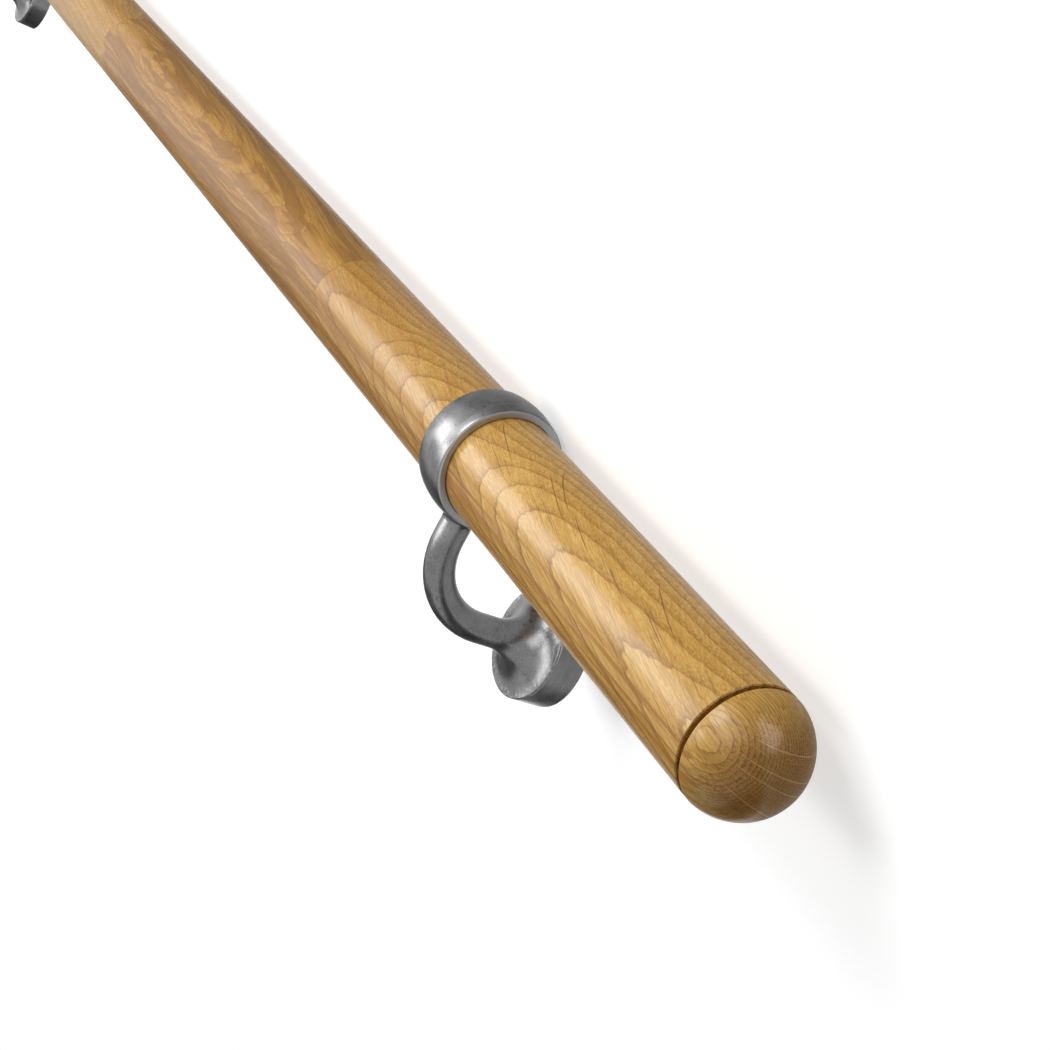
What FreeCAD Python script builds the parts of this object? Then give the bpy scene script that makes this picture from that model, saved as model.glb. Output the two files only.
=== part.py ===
"""Stair handrail length: a round oak rail with two turned caps on two wall brackets.

Every body is drawn in the rail's own frame: X along the rail, Y towards the wall and Z
downwards when the rail is mounted. Its Placement then turns it into the pose in which
the handrail lies on a floor, on the two collars and on the edges of the two roses.
"""
import FreeCAD, Part
import math
import os
import Sketcher

V = FreeCAD.Vector

SIZES = (
    ("rail_diameter", 45.0),
    ("rail_length", 1500.0),
    ("rail_end_ease", 0.4),
    ("cap_gap", 2.0),
    ("cap_gap_depth", 2.2),
    ("cap_height", 20.0),
    ("cap_edge_round", 0.4),
    ("dowel_diameter", 16.0),
    ("dowel_length", 25.0),
    ("dowel_clearance", 0.1),
    ("dowel_end_gap", 1.5),
    ("bracket_inset", 200.0),
    ("collar_clearance", 0.25),
    ("collar_width", 21.0),
    ("collar_edge_wall", 2.8),
    ("collar_crown", 1.2),
    ("collar_edge_round", 1.1),
    ("arm_diameter", 12.8),
    ("arm_drop", 67.2),
    ("arm_bend_radius", 33.0),
    ("arm_neck_round", 2.6),
    ("wall_clearance", 50.0),
    ("rose_diameter", 47.2),
    ("rose_thickness", 13.9),
    ("foot_rim", 1.2),
    ("seam_ease", 0.3),
    ("bolt_core_diameter", 6.8),
    ("bolt_core_depth", 16.0),
    ("bolt_clearance_diameter", 9.0),
)

doc = FreeCAD.newDocument("handrail")
sheet = doc.addObject("Spreadsheet::Sheet", "Sizes")
for row, (alias, value) in enumerate(SIZES, start=1):
    sheet.set("A%d" % row, alias)
    sheet.set("B%d" % row, str(value))
    sheet.setAlias("B%d" % row, alias)
doc.recompute()

# Lengths that several pieces share, written as expressions on the sheet.
RAIL_R = "Sizes.rail_diameter / 2"
BORE_R = "(%s + Sizes.collar_clearance)" % RAIL_R
EDGE_R = "(%s + Sizes.collar_edge_wall)" % BORE_R
HALF_WIDTH = "(Sizes.collar_width / 2)"
CROWN_ARC_R = "((%s ^ 2 + Sizes.collar_crown ^ 2) / (2 * Sizes.collar_crown))" % HALF_WIDTH
ARM_R = "Sizes.arm_diameter / 2"
ROSE_R = "Sizes.rose_diameter / 2"
WALL_Y = "(%s + Sizes.wall_clearance)" % RAIL_R
FOOT_BACK_Y = "(%s - Sizes.rose_thickness)" % WALL_Y
RIM_FRONT_Y = "(%s - Sizes.foot_rim)" % FOOT_BACK_Y
FLARE_R = "(%s - %s)" % (ROSE_R, ARM_R)
FLARE_START_Y = "(%s - %s)" % (RIM_FRONT_Y, FLARE_R)
ARM_START_Z = "(%s + Sizes.collar_edge_wall / 2)" % BORE_R
NECK_R = "(%s - Sizes.cap_gap_depth)" % RAIL_R

# Sketcher numbering: the two axes, the origin, and the points of a line or an arc.
H_AXIS, V_AXIS = range(-1, -3, -1)
START, END, CENTRE = range(1, 4)

# Degrees by which the seams of the bell and its bolt hole are turned off the bracket's own planes.
SEAM_TURN = 25


def size(alias):
    return float(getattr(sheet, alias))


def new_body(name):
    body = doc.addObject("PartDesign::Body", name)
    body.Label = name
    return body


def plane(body, role):
    for item in body.Origin.OriginFeatures:
        if item.Role == role:
            return item
    raise RuntimeError("no origin plane " + role)


def new_sketch(body, name, role):
    sketch = body.newObject("Sketcher::SketchObject", name)
    sketch.AttachmentSupport = (plane(body, role), "")
    sketch.MapMode = "FlatFace"
    return sketch


def lift_sketch(sketch, axis, expression):
    sketch.setExpression("AttachmentOffset.Base." + axis, expression)


def line(sketch, start, end):
    return sketch.addGeometry(Part.LineSegment(V(*start, 0), V(*end, 0)), False)


def arc(sketch, centre, radius, first, last):
    circle = Part.Circle(V(*centre, 0), V(0, 0, 1), radius)
    return sketch.addGeometry(Part.ArcOfCircle(circle, first, last), False)


def tie(sketch, kind, *where):
    return sketch.addConstraint(Sketcher.Constraint(kind, *where))


def measure(sketch, name, expression, kind, *where):
    """Adds a driving dimension, starting from the sketched value, bound to the sheet."""
    index = sketch.addConstraint(Sketcher.Constraint(kind, *where))
    sketch.renameConstraint(index, name)
    sketch.setExpression("Constraints." + name, expression)


def circle_at(sketch, name, radius, expression):
    item = sketch.addGeometry(Part.Circle(V(0, 0, 0), V(0, 0, 1), radius), False)
    tie(sketch, "Coincident", item, CENTRE, H_AXIS, START)
    measure(sketch, name, expression, "Radius", item, radius)
    return item


def edges_where(feature, test):
    names = []
    for index, edge in enumerate(feature.Shape.Edges, start=1):
        if test(edge):
            names.append("Edge%d" % index)
    if not names:
        raise RuntimeError("no edge found on " + feature.Name)
    return names


def near(a, b):
    return abs(a - b) < 0.001


def is_ring(edge, radius):
    """True for a whole circle of this radius."""
    if edge.Degenerated or not isinstance(edge.Curve, Part.Circle):
        return False
    return edge.isClosed() and near(edge.Curve.Radius, radius)


def new_round(body, kind, name, base, names, path, expression):
    feature = body.newObject("PartDesign::" + kind, name)
    feature.Base = (base, names)
    feature.setExpression(path, expression)
    doc.recompute()
    return feature


def make_rail():
    body = new_body("rail")
    section = new_sketch(body, "rail_section", "YZ_Plane")
    circle_at(section, "rail_radius", size("rail_diameter") / 2, RAIL_R)
    bar = body.newObject("PartDesign::Pad", "rail_bar")
    bar.Profile = section
    bar.SideType = "Symmetric"
    bar.setExpression("Length", "Sizes.rail_length")
    doc.recompute()
    ends = edges_where(bar, lambda edge: is_ring(edge, size("rail_diameter") / 2))
    eased = new_round(body, "Chamfer", "rail_ends", bar, ends, "Size", "Sizes.rail_end_ease")

    mouth = new_sketch(body, "dowel_mouth", "YZ_Plane")
    lift_sketch(mouth, "z", "Sizes.rail_length / 2")
    bore_radius = "Sizes.dowel_diameter / 2 + Sizes.dowel_clearance"
    circle_at(mouth, "dowel_bore_radius", size("dowel_diameter") / 2, bore_radius)
    bore = body.newObject("PartDesign::Pocket", "dowel_bore")
    bore.Profile = mouth
    bore.setExpression("Length", "Sizes.dowel_length + Sizes.dowel_end_gap")
    doc.recompute()
    both = body.newObject("PartDesign::Mirrored", "dowel_bores")
    both.Originals = [bore]
    both.MirrorPlane = (plane(body, "YZ_Plane"), [""])
    body.Tip = both
    doc.recompute()
    return body


def make_cap(name):
    """Turned cap: its neck meets the rail's end at x = 0 and its dome points to +X."""
    body = new_body(name)
    gap = size("cap_gap")
    rail_r = size("rail_diameter") / 2
    neck_r = rail_r - size("cap_gap_depth")
    dowel_r = size("dowel_diameter") / 2
    back = -size("dowel_length")
    tip = gap + size("cap_height")
    dome_r = (rail_r ** 2 + size("cap_height") ** 2) / (2 * size("cap_height"))
    dome_x = tip - dome_r
    rim_angle = math.atan2(rail_r, gap - dome_x)

    turn = new_sketch(body, name + "_profile", "XY_Plane")
    dowel_end = line(turn, (back, 0), (back, dowel_r))
    dowel_side = line(turn, (back, dowel_r), (0, dowel_r))
    seat = line(turn, (0, dowel_r), (0, neck_r))
    neck = line(turn, (0, neck_r), (gap, neck_r))
    shoulder = line(turn, (gap, neck_r), (gap, rail_r))
    dome = arc(turn, (dome_x, 0), dome_r, 0, rim_angle)
    axis = line(turn, (tip, 0), (back, 0))
    tie(turn, "Coincident", dowel_end, END, dowel_side, START)
    tie(turn, "Coincident", dowel_side, END, seat, START)
    tie(turn, "Coincident", seat, END, neck, START)
    tie(turn, "Coincident", neck, END, shoulder, START)
    tie(turn, "Coincident", shoulder, END, dome, END)
    tie(turn, "Coincident", dome, START, axis, START)
    tie(turn, "Coincident", axis, END, dowel_end, START)
    tie(turn, "Vertical", dowel_end)
    tie(turn, "Horizontal", dowel_side)
    tie(turn, "PointOnObject", seat, START, V_AXIS)
    tie(turn, "PointOnObject", seat, END, V_AXIS)
    tie(turn, "Horizontal", neck)
    tie(turn, "Vertical", shoulder)
    tie(turn, "PointOnObject", axis, START, H_AXIS)
    tie(turn, "PointOnObject", axis, END, H_AXIS)
    tie(turn, "PointOnObject", dome, CENTRE, H_AXIS)
    measure(turn, "dowel_radius", "Sizes.dowel_diameter / 2",
            "DistanceY", H_AXIS, START, dowel_side, END, dowel_r)
    measure(turn, "dowel_reach", "Sizes.dowel_length",
            "DistanceX", dowel_side, START, dowel_side, END, -back)
    measure(turn, "neck_radius", NECK_R, "DistanceY", H_AXIS, START, neck, START, neck_r)
    measure(turn, "gap_width", "Sizes.cap_gap", "DistanceX", neck, START, neck, END, gap)
    measure(turn, "dome_base_radius", RAIL_R, "DistanceY", H_AXIS, START, dome, END, rail_r)
    measure(turn, "dome_reach", "Sizes.cap_gap + Sizes.cap_height",
            "DistanceX", H_AXIS, START, axis, START, tip)

    solid = body.newObject("PartDesign::Revolution", name + "_turned")
    solid.Profile = turn
    solid.ReferenceAxis = (turn, ["H_Axis"])
    solid.Angle = 360
    doc.recompute()
    rim = edges_where(solid, lambda edge: is_ring(edge, rail_r))
    body.Tip = new_round(body, "Fillet", name + "_edge", solid, rim, "Radius", "Sizes.cap_edge_round")
    return body


def add_collar(body, name):
    half = size("collar_width") / 2
    bore_r = size("rail_diameter") / 2 + size("collar_clearance")
    edge_r = bore_r + size("collar_edge_wall")
    crown = size("collar_crown")
    arc_r = (half ** 2 + crown ** 2) / (2 * crown)
    arc_y = edge_r + crown - arc_r
    spread = math.asin(half / arc_r)

    ring = new_sketch(body, name + "_collar_profile", "XY_Plane")
    bore = line(ring, (-half, bore_r), (half, bore_r))
    face_out = line(ring, (half, bore_r), (half, edge_r))
    barrel = arc(ring, (0, arc_y), arc_r, math.pi / 2 - spread, math.pi / 2 + spread)
    face_in = line(ring, (-half, edge_r), (-half, bore_r))
    tie(ring, "Coincident", bore, END, face_out, START)
    tie(ring, "Coincident", face_out, END, barrel, START)
    tie(ring, "Coincident", barrel, END, face_in, START)
    tie(ring, "Coincident", face_in, END, bore, START)
    tie(ring, "Vertical", face_out)
    tie(ring, "Vertical", face_in)
    tie(ring, "PointOnObject", barrel, CENTRE, V_AXIS)
    tie(ring, "Symmetric", bore, START, bore, END, V_AXIS)
    measure(ring, "bore_radius", BORE_R, "DistanceY", H_AXIS, START, bore, END, bore_r)
    measure(ring, "collar_width", "Sizes.collar_width", "DistanceX", bore, START, bore, END, 2 * half)
    measure(ring, "edge_radius", EDGE_R, "DistanceY", H_AXIS, START, face_out, END, edge_r)
    measure(ring, "barrel_radius", CROWN_ARC_R, "Radius", barrel, arc_r)

    solid = body.newObject("PartDesign::Revolution", name + "_collar")
    solid.Profile = ring
    solid.ReferenceAxis = (ring, ["H_Axis"])
    solid.Angle = 360
    doc.recompute()
    rims = edges_where(solid, lambda edge: is_ring(edge, edge_r))
    return new_round(body, "Fillet", name + "_collar_edges", solid, rims, "Radius", "Sizes.collar_edge_round")


def add_arm(body, name):
    """Sweeps a round section down from the collar, round the bend and out to the foot."""
    arm_r = size("arm_diameter") / 2
    bore_r = size("rail_diameter") / 2 + size("collar_clearance")
    top = bore_r + size("collar_edge_wall") / 2
    drop = size("arm_drop")
    bend = size("arm_bend_radius")
    wall_y = size("rail_diameter") / 2 + size("wall_clearance")
    rim_y = wall_y - size("rose_thickness") - size("foot_rim")
    flare_y = rim_y - (size("rose_diameter") / 2 - arm_r)

    path = new_sketch(body, name + "_arm_path", "YZ_Plane")
    fall = line(path, (0, top), (0, drop - bend))
    turn = arc(path, (bend, drop - bend), bend, math.pi / 2, math.pi)
    reach = line(path, (bend, drop), (flare_y, drop))
    tie(path, "PointOnObject", fall, START, V_AXIS)
    tie(path, "Vertical", fall)
    tie(path, "Tangent", fall, END, turn, END)
    tie(path, "Tangent", turn, START, reach, START)
    tie(path, "Horizontal", reach)
    measure(path, "arm_start", ARM_START_Z, "DistanceY", H_AXIS, START, fall, START, top)
    measure(path, "arm_drop", "Sizes.arm_drop", "DistanceY", H_AXIS, START, reach, END, drop)
    measure(path, "bend_radius", "Sizes.arm_bend_radius", "Radius", turn, bend)
    measure(path, "arm_reach", FLARE_START_Y, "DistanceX", H_AXIS, START, reach, END, flare_y)

    section = new_sketch(body, name + "_arm_section", "XY_Plane")
    lift_sketch(section, "z", ARM_START_Z)
    circle_at(section, "arm_radius", arm_r, ARM_R)
    doc.recompute()

    arm = body.newObject("PartDesign::AdditivePipe", name + "_arm")
    arm.Profile = section
    arm.Spine = (path, [])
    doc.recompute()
    return arm


def add_foot(body, name):
    """Turns the bell about the arm's end: its curve is level with the arm, then with the rim."""
    arm_r = size("arm_diameter") / 2
    rose_r = size("rose_diameter") / 2
    flare = rose_r - arm_r
    wall_y = size("rail_diameter") / 2 + size("wall_clearance")
    back = wall_y - size("rose_thickness")
    front = back - size("foot_rim")
    start = front - flare
    drop = size("arm_drop")

    bell = new_sketch(body, name + "_foot_profile", "YZ_Plane")
    bell.AttachmentOffset = FreeCAD.Placement(V(0, drop, 0), FreeCAD.Rotation(V(1, 0, 0), SEAM_TURN))
    lift_sketch(bell, "y", "Sizes.arm_drop")
    base = line(bell, (back, 0), (back, rose_r))
    rim = line(bell, (back, rose_r), (front, rose_r))
    curve = arc(bell, (start, rose_r), flare, -math.pi / 2, 0)
    end = line(bell, (start, arm_r), (start, 0))
    axis = line(bell, (start, 0), (back, 0))
    tie(bell, "Coincident", base, END, rim, START)
    tie(bell, "Coincident", rim, END, curve, END)
    tie(bell, "Coincident", curve, START, end, START)
    tie(bell, "Coincident", end, END, axis, START)
    tie(bell, "Coincident", axis, END, base, START)
    tie(bell, "PointOnObject", axis, START, H_AXIS)
    tie(bell, "PointOnObject", axis, END, H_AXIS)
    tie(bell, "Vertical", base)
    tie(bell, "Horizontal", rim)
    tie(bell, "Vertical", end)
    tie(bell, "Horizontal", curve, CENTRE, rim, END)
    measure(bell, "foot_back", FOOT_BACK_Y, "DistanceX", H_AXIS, START, base, START, back)
    measure(bell, "rim_radius", ROSE_R, "DistanceY", H_AXIS, START, rim, START, rose_r)
    measure(bell, "rim_width", "Sizes.foot_rim", "DistanceX", rim, END, rim, START, back - front)
    measure(bell, "flare_start", FLARE_START_Y, "DistanceX", H_AXIS, START, axis, START, start)
    measure(bell, "neck_radius", ARM_R, "DistanceY", H_AXIS, START, end, START, arm_r)

    foot = body.newObject("PartDesign::Revolution", name + "_foot")
    foot.Profile = bell
    foot.ReferenceAxis = (bell, ["H_Axis"])
    foot.Angle = 360
    doc.recompute()
    return foot


def make_bracket(name):
    body = new_body(name)
    add_collar(body, name)
    add_arm(body, name)
    foot = add_foot(body, name)

    bore_r = size("rail_diameter") / 2 + size("collar_clearance")
    crown_r = bore_r + size("collar_edge_wall") + size("collar_crown")
    arm_r = size("arm_diameter") / 2

    def at_neck(edge):
        box = edge.BoundBox
        inside = box.ZMin > bore_r and box.ZMax < crown_r + 1
        round_arm = abs(box.XMin) < arm_r * 1.1 and abs(box.XMax) < arm_r * 1.1
        return inside and round_arm and box.YLength > arm_r * 0.5

    neck = edges_where(foot, at_neck)
    blended = new_round(body, "Fillet", name + "_neck", foot, neck, "Radius", "Sizes.arm_neck_round")

    rose_r = size("rose_diameter") / 2
    rims = edges_where(blended, lambda edge: is_ring(edge, rose_r))
    eased = new_round(body, "Chamfer", name + "_rim", blended, rims, "Size", "Sizes.seam_ease")

    mouth = new_sketch(body, name + "_bolt_mouth", "XZ_Plane")
    mouth.AttachmentOffset = FreeCAD.Placement(V(0, 0, 0), FreeCAD.Rotation(V(0, 0, 1), SEAM_TURN))
    lift_sketch(mouth, "y", "Sizes.arm_drop")
    lift_sketch(mouth, "z", "-" + FOOT_BACK_Y)
    circle_at(mouth, "bolt_core_radius", size("bolt_core_diameter") / 2, "Sizes.bolt_core_diameter / 2")
    core = body.newObject("PartDesign::Pocket", name + "_bolt_core")
    core.Profile = mouth
    core.Reversed = True
    core.setExpression("Length", "Sizes.bolt_core_depth")
    body.Tip = core
    doc.recompute()
    return body


def make_rose(name):
    body = new_body(name)
    face = new_sketch(body, name + "_section", "XZ_Plane")
    lift_sketch(face, "y", "Sizes.arm_drop")
    lift_sketch(face, "z", "-" + FOOT_BACK_Y)
    circle_at(face, "rose_radius", size("rose_diameter") / 2, ROSE_R)
    clearance = "Sizes.bolt_clearance_diameter / 2"
    circle_at(face, "hole_radius", size("bolt_clearance_diameter") / 2, clearance)
    drum = body.newObject("PartDesign::Pad", name + "_drum")
    drum.Profile = face
    drum.Reversed = True
    drum.setExpression("Length", "Sizes.rose_thickness")
    doc.recompute()
    rims = edges_where(drum, lambda edge: is_ring(edge, size("rose_diameter") / 2))
    body.Tip = new_round(body, "Chamfer", name + "_rims", drum, rims, "Size", "Sizes.seam_ease")
    return body


def rest_pose():
    """Angle about X, and offset, of the pose on the two collars and the two roses."""
    bore_r = size("rail_diameter") / 2 + size("collar_clearance")
    crown_r = bore_r + size("collar_edge_wall") + size("collar_crown")
    wall_y = size("rail_diameter") / 2 + size("wall_clearance")
    rose_r = size("rose_diameter") / 2
    ease = size("seam_ease")
    drop = size("arm_drop")

    # The floor touches the collar's circle and one of the two corners of the rose's eased back edge.
    corners = ((wall_y, drop - rose_r + ease), (wall_y - ease, drop - rose_r))
    lean = min(
        math.acos(crown_r / math.hypot(y, z)) - math.atan2(z, y)
        for y, z in corners
    )
    tilt = lean - math.pi / 2
    far_y = max(
        y * math.cos(tilt) - z * math.sin(tilt)
        for y, z in ((wall_y, drop + rose_r - ease), (wall_y - ease, drop + rose_r))
    )
    shift_y = (crown_r - far_y) / 2
    return math.degrees(tilt), V(0, shift_y, crown_r)


TILT, OFFSET = rest_pose()
RESTING = FreeCAD.Rotation(V(1, 0, 0), TILT)
ABOUT_FACE = FreeCAD.Rotation(V(0, 0, 1), 180)
RAIL_END = size("rail_length") / 2
BRACKET_X = RAIL_END - size("bracket_inset")


def place(body, x, turn=None):
    rotation = RESTING if turn is None else RESTING.multiply(turn)
    body.Placement = FreeCAD.Placement(OFFSET + V(x, 0, 0), rotation)


rail = make_rail()
place(rail, 0)
cap_near = make_cap("end_cap_near")
place(cap_near, -RAIL_END, ABOUT_FACE)
cap_far = make_cap("end_cap_far")
place(cap_far, RAIL_END)
bracket_near = make_bracket("bracket_near")
place(bracket_near, -BRACKET_X)
bracket_far = make_bracket("bracket_far")
place(bracket_far, BRACKET_X)
rose_near = make_rose("wall_rose_near")
place(rose_near, -BRACKET_X)
rose_far = make_rose("wall_rose_far")
place(rose_far, BRACKET_X)
doc.recompute()

BODIES = (rail, cap_near, cap_far, bracket_near, bracket_far, rose_near, rose_far)

for item in doc.Objects:
    if "Invalid" in item.State or "Error" in item.State:
        raise RuntimeError("%s did not recompute: %s" % (item.Name, item.State))
for body in BODIES:
    if body.Shape.isNull() or not body.Shape.isValid() or len(body.Shape.Solids) != 1:
        raise RuntimeError(body.Label + " is not one valid solid")

os.makedirs("parts", exist_ok=True)
for body in BODIES:
    body.Shape.exportStep("parts/%s.step" % body.Label)
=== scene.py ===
"""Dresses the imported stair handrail: lacquered oak, satin cast brackets, white floor, soft light, camera."""

import math

import bmesh
import bpy
from mathutils import Matrix, Vector


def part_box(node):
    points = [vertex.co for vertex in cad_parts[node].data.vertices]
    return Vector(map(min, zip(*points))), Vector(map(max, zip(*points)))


MM = 0.001
WHITE = (1.0, 1.0, 1.0, 1.0)

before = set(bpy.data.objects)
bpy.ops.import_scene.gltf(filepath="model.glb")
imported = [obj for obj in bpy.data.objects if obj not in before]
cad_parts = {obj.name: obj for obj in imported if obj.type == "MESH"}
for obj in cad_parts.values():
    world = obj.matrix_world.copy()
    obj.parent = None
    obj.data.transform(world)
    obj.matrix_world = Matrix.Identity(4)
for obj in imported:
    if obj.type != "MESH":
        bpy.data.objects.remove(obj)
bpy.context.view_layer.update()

# The rail's axis and the middle of each cap's shadow gap are where the grain patterns start.
rail_low, rail_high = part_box("rail")
AXIS_Y = (rail_low.y + rail_high.y) / 2
AXIS_Z = (rail_low.z + rail_high.z) / 2
GAP_HALF = 1.0 * MM
NEAR_GAP_X = rail_low.x - GAP_HALF
FAR_GAP_X = rail_high.x + GAP_HALF
NEAR_START = (NEAR_GAP_X, AXIS_Y, AXIS_Z)
FAR_START = (FAR_GAP_X, AXIS_Y, AXIS_Z)


def linear(hex_colour):
    """Turns an sRGB hex value into the linear colour that a shader socket takes."""
    channels = [int(hex_colour[i:i + 2], 16) / 255 for i in (1, 3, 5)]
    straight = [c / 12.92 if c <= 0.04045 else ((c + 0.055) / 1.055) ** 2.4 for c in channels]
    return (*straight, 1.0)


def add(tree, kind, links=None, **settings):
    """Adds one node: its settings, then each socket's value or the output that it is linked to."""
    made = tree.nodes.new("ShaderNode" + kind)
    for name, value in settings.items():
        setattr(made, name, value)
    for socket, source in (links or {}).items():
        if isinstance(source, bpy.types.NodeSocket):
            tree.links.new(source, made.inputs[socket])
        else:
            made.inputs[socket].default_value = source
    return made


def new_material(name):
    """An empty node material and its Principled shader, wired to the output."""
    material = bpy.data.materials.new(name)
    material.use_nodes = True
    tree = material.node_tree
    tree.nodes.clear()
    shader = add(tree, "BsdfPrincipled")
    add(tree, "OutputMaterial", {"Surface": shader.outputs["BSDF"]})
    return material, tree, shader


def cell_noise(tree, space, size, detail, start=(0, 0, 0), roughness=0.5, distortion=0.0,
               cut=None, levels=(0.0, 1.0)):
    """Noise in stretched cells: their size in mm each way, how fine it breaks up, and where it starts.

    A cut spreads that part of the noise's range over the levels and holds the rest at them.
    """
    scale = [1 / length for length in size]
    cells = add(tree, "Mapping", {"Vector": space, "Scale": scale, "Location": start}).outputs[0]
    noise = add(tree, "TexNoise", {"Vector": cells, "Scale": 1.0, "Detail": detail,
                                   "Roughness": roughness, "Distortion": distortion}).outputs[0]
    if cut is None:
        return noise
    links = {"Value": noise, 1: cut[0], 2: cut[1], 3: levels[0], 4: levels[1]}
    return add(tree, "MapRange", links).outputs[0]


# Oak: the two ground tones, then the marks that lie on them.
OAK = {
    "golden": linear("#B99246"),
    "straw": linear("#C4A05A"),
    "late_wood": linear("#D6B472"),
    "early_wood": linear("#A8782A"),
    "band": linear("#A27428"),
    "quarter_streak": linear("#865412"),
    "fibre_bundle": linear("#A67824"),
    "tongue": linear("#8E6626"),
    "brown_stave": linear("#D4C4A2"),
    # Darker end grain, partly painted shade on the caps' domes.
    "end_grain_and_painted_shade": linear("#8A5614"),
    "ray_on_face": linear("#946A26"),
    "ray_on_end": linear("#BC9048"),
    "ring_line": linear("#7E520A"),
    "pore": linear("#704812"),
    "check": linear("#5E3A10"),
    "glue": linear("#6E4A1A"),
    "broad_ray": linear("#D2AC6C"),
}
# Its patterns, with sizes in mm along the fibre, across it and outwards through the rings.
OAK_CELLS = {
    "sway": {"size": (40, 15, 15), "detail": 0.0},
    "ripple": {"size": (10, 2.2, 2.2), "detail": 2.0},
    "force": {"size": (55, 11, 11), "detail": 1.0, "start": (2.3, 7.1, 4.4), "cut": (0.35, 0.65),
              "levels": (0.6, 1.0)},
    # Pores are 5 mm long; a real one is 0.2 mm wide, drawn 0.4 mm so that it shows.
    "pores": {"size": (5.0, 0.4, 0.4), "detail": 1.0},
    "fibre_bundles": {"size": (16, 0.5, 0.5), "detail": 2.0},
    # Dark hairs run on through the rings along the rail, and are dots on a cap's end grain.
    "hairs_on_rail": {"size": (26, 0.6, math.inf), "detail": 0.0, "start": (3.7, 2.1, 5.5)},
    "hairs_on_cap": {"size": (26, 0.6, 0.6), "detail": 0.0, "start": (3.7, 2.1, 5.5)},
    # Small rays are sheets 0.3 mm thick, drawn 0.6 mm so that an end shows fine spokes.
    "small_rays": {"size": (9, 0.6, 7), "detail": 0.0, "cut": (0.5, 0.66)},
    "drift": {"size": (110, 9, 9), "detail": 2.0, "cut": (0.3, 0.7)},
    "bands": {"size": (70, 2.2, 2.2), "detail": 3.0, "start": (8.2, 1.3, 6.1), "cut": (0.47, 0.7),
              "levels": (0.0, 0.6)},
    "quarter": {"size": (130, 2.0, 2.0), "detail": 4.0, "start": (5.9, 3.4, 0.8), "roughness": 0.65,
                "cut": (0.46, 0.58)},
    "tongues": {"size": (110, 8, 8), "detail": 2.0, "start": (1.7, 4.9, 2.2), "distortion": 0.4,
                "cut": (0.47, 0.53)},
}

RAIL_RADIUS = 22.5
# Growth rings of the near stave: mm from the gap at which each ring's arch comes to its tip.
ARCH_TIPS = (50, 102, 133, 151, 166, 196, 226, 250, 270, 284, 350)
ARCH_SPAN = 360
# Rings passed at the gap, and how much of the last ring is left at the end of the span.
RINGS_AT_GAP = 0.7
RINGS_LEFT = 0.8
# Finger joints along the rail: where each is, how far on its grain's eye lies, its turn and its browner tone.
STAVES = (
    {"joint": 360, "eye": 690, "turn": -24, "tone": 0.8},
    {"joint": 790, "eye": 294, "turn": 118, "tone": -0.45},
    {"joint": 1165, "eye": 290, "turn": -74, "tone": 0.15},
)
# Every stave behind the first joint has its eye farther on than this.
NEXT_STAVE = 100.0
# Farther from a joint, in mm, than its glue line shows.
FAR_OFF = 100.0
# Fingers: half their pitch, their slope, the turn of their face and how far from the axis they end.
HALF_PITCH = 4.0
FINGER_SLOPE = 3.0
FINGER_TURN = -33
FINGER_EDGE = 16.0
# Hairline checks on the rail's upper side: mm from the gap at both ends, and mm across the fibres.
CHECKS = ((112, 150, 12.4), (88, 120, 10.9), (106, 148, 15.0), (26, 68, -5.4), (154, 196, 25.4),
          (150, 182, 30.8), (28, 58, -0.4), (58, 84, 5.6))
# The same on a cap, where the gap lies behind.
CAP_CHECKS = ((-11, -4, 4.1), (-7, -1, 9.0), (-8, -2, -9.0), (-10, -6, -13.6))
# Half a check's width and the soft edge within it: about 0.3 mm looks dark. The middle part doesn't taper.
CHECK_HALF = 0.24
CHECK_EDGE = 0.15
CHECK_MIDDLE = 0.4
# Broad rays that show pale on a cap's end grain, mm to each side of its middle.
CAP_RAYS = (-10.8, -3.8, 0.4, 9.1)
# A ring in shares of its width: its dark line at the face and 6 mm deep, its rise, the late wood's start.
LINE_AT_FACE = 0.07
LINE_DEEP = 0.3
LINE_DEPTH = 6.0
LINE_RISE = 0.97
LATE_START = 0.4
# Early wood is this many lines wide, and late wood is this faint 4 mm deep.
EARLY_LINES = 3.2
LATE_DEEP = 0.12
LATE_DEPTH = 4.0
# Near the gap the near stave's heart swings this many mm aside, and the last arch with it.
HEART_SWING = 16.0
SWING_ENDS = (25.0, 95.0)
# A cap's eye lies this many mm inside its first ring.
CAP_EYE = 0.95
# Zones in mm round the pith: the front flank with softer lines, the quartered flank, and where hairs fade.
FRONT_ZONE = (-14.0, 2.0)
FRONT_LINES = 0.45
QUARTER_ZONE = (2.0, 10.0)
QUARTER_COVERS = (0.1, 0.9)
HAIR_ZONE = (13.0, 19.0)
HAIR_COVERS = 0.5
# Noise levels between which a pore, a hair or a fibre bundle shows, and the early wood's help to the pores.
PORE_CUT = (0.67, 0.75)
PORE_CROWD = 0.26
HAIR_CUT = (0.67, 0.75)
BUNDLE_CUT = (0.38, 0.68)
BUNDLE_COVERS = 0.8
# How squarely a face is cut across the fibres before it counts as end grain, and pores on face and end.
END_FACING = (0.35, 0.9)
PORE_COVERS = (0.42, 0.9)
# The near stave darkens this much between these distances from the gap.
JOINT_SHADE = 0.7
SHADE_ENDS = (150.0, 320.0)
# Glue line and broad rays: mm from their middle at which they start to fade and end, and their cover.
GLUE_EDGE = (0.1, 0.5)
RAY_EDGE = (0.06, 0.26)
THIN_COVERS = 0.6
RAY_DEPTH = (7.0, 12.0)
# The lacquer is duller on the fibre bundles.
LACQUER_ROUGH = (0.42, 0.56)


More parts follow.
